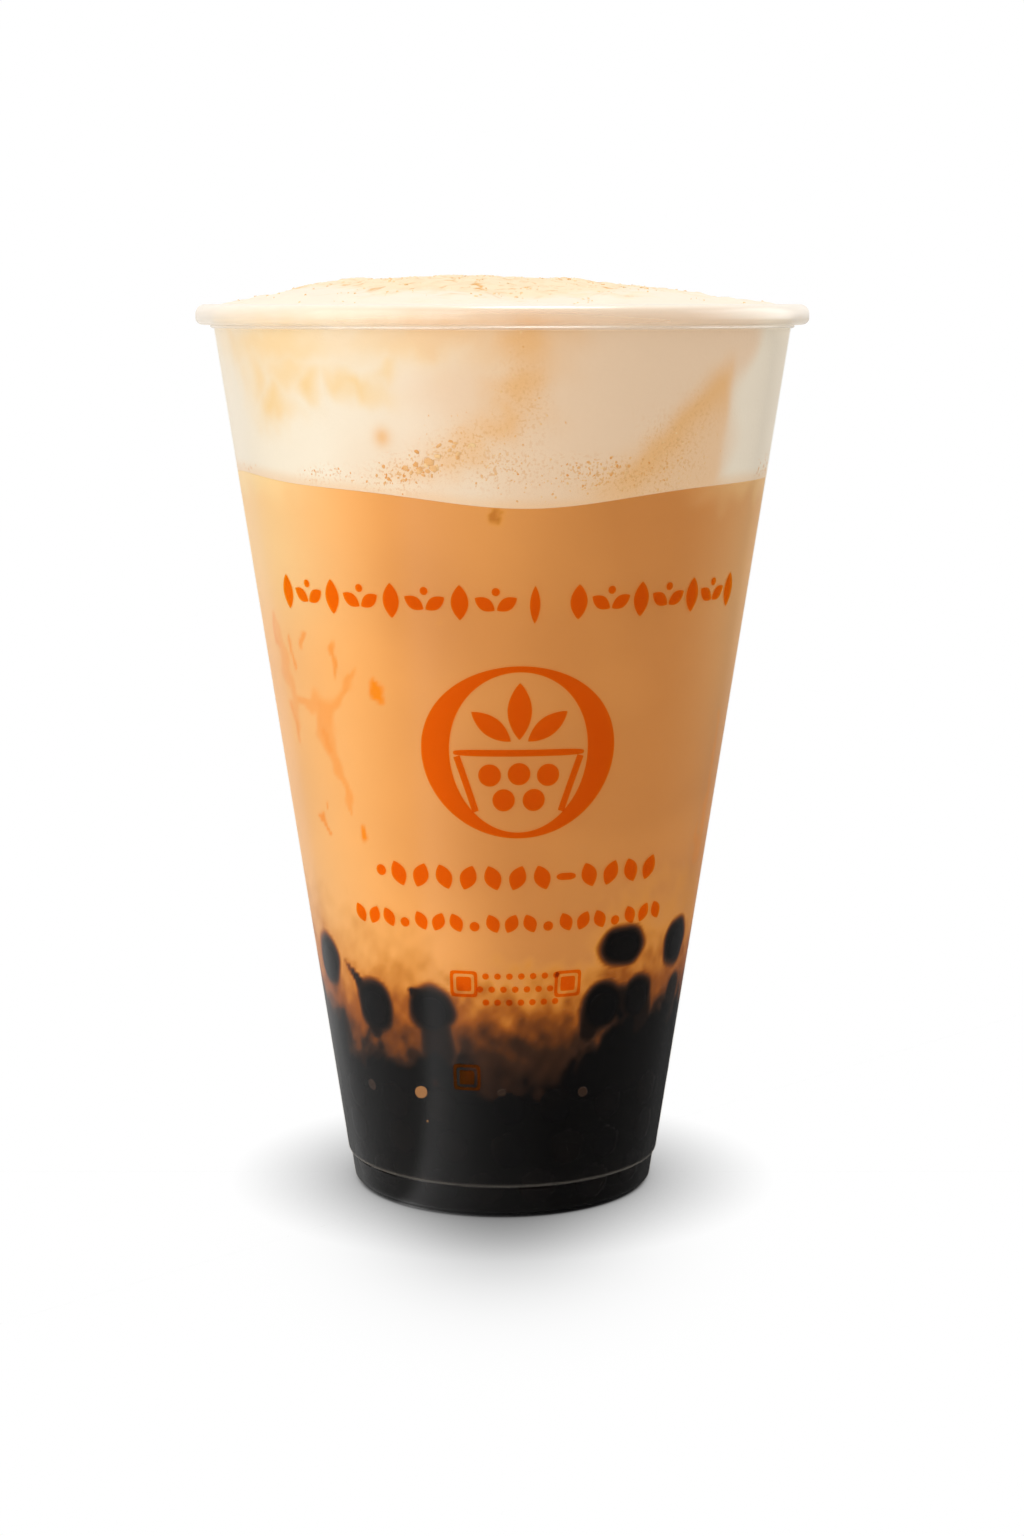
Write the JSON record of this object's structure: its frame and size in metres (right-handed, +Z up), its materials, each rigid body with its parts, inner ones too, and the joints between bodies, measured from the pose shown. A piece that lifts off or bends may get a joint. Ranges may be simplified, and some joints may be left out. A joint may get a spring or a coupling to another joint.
{
  "type": "bubble tea",
  "caption": "Iced milk tea with dark tapioca pearls and a domed milk foam top, in an open frosted takeaway cup with a rolled rim.",
  "frame": {"origin": "centre of the ring that the cup stands on, at table level", "axes": "+Z up, the printed front faces -Y, +X to the right as seen from the front"},
  "size_m": [0.095, 0.095, 0.1446],
  "materials": {
    "cup_polypropylene": "moulded polypropylene, milky and see-through, satin outside",
    "milk_foam": null,
    "milk_tea": null,
    "tapioca_pearl": null,
    "print_ink": "screen-printed orange ink"
  },
  "bodies": {
    "root": {"cup": "cup_polypropylene", "foam": "milk_foam", "tea": "milk_tea", "pearl_heap": "tapioca_pearl", "pearl_1": "tapioca_pearl", "pearl_2": "tapioca_pearl", "pearl_3": "tapioca_pearl", "pearl_4": "tapioca_pearl", "pearl_5": "tapioca_pearl", "pearl_6": "tapioca_pearl", "pearl_7": "tapioca_pearl", "pearl_8": "tapioca_pearl", "pearl_9": "tapioca_pearl", "pearl_10": "tapioca_pearl", "pearl_11": "tapioca_pearl", "pearl_12": "tapioca_pearl", "pearl_13": "tapioca_pearl", "pearl_14": "tapioca_pearl"}
  },
  "joints": []
}
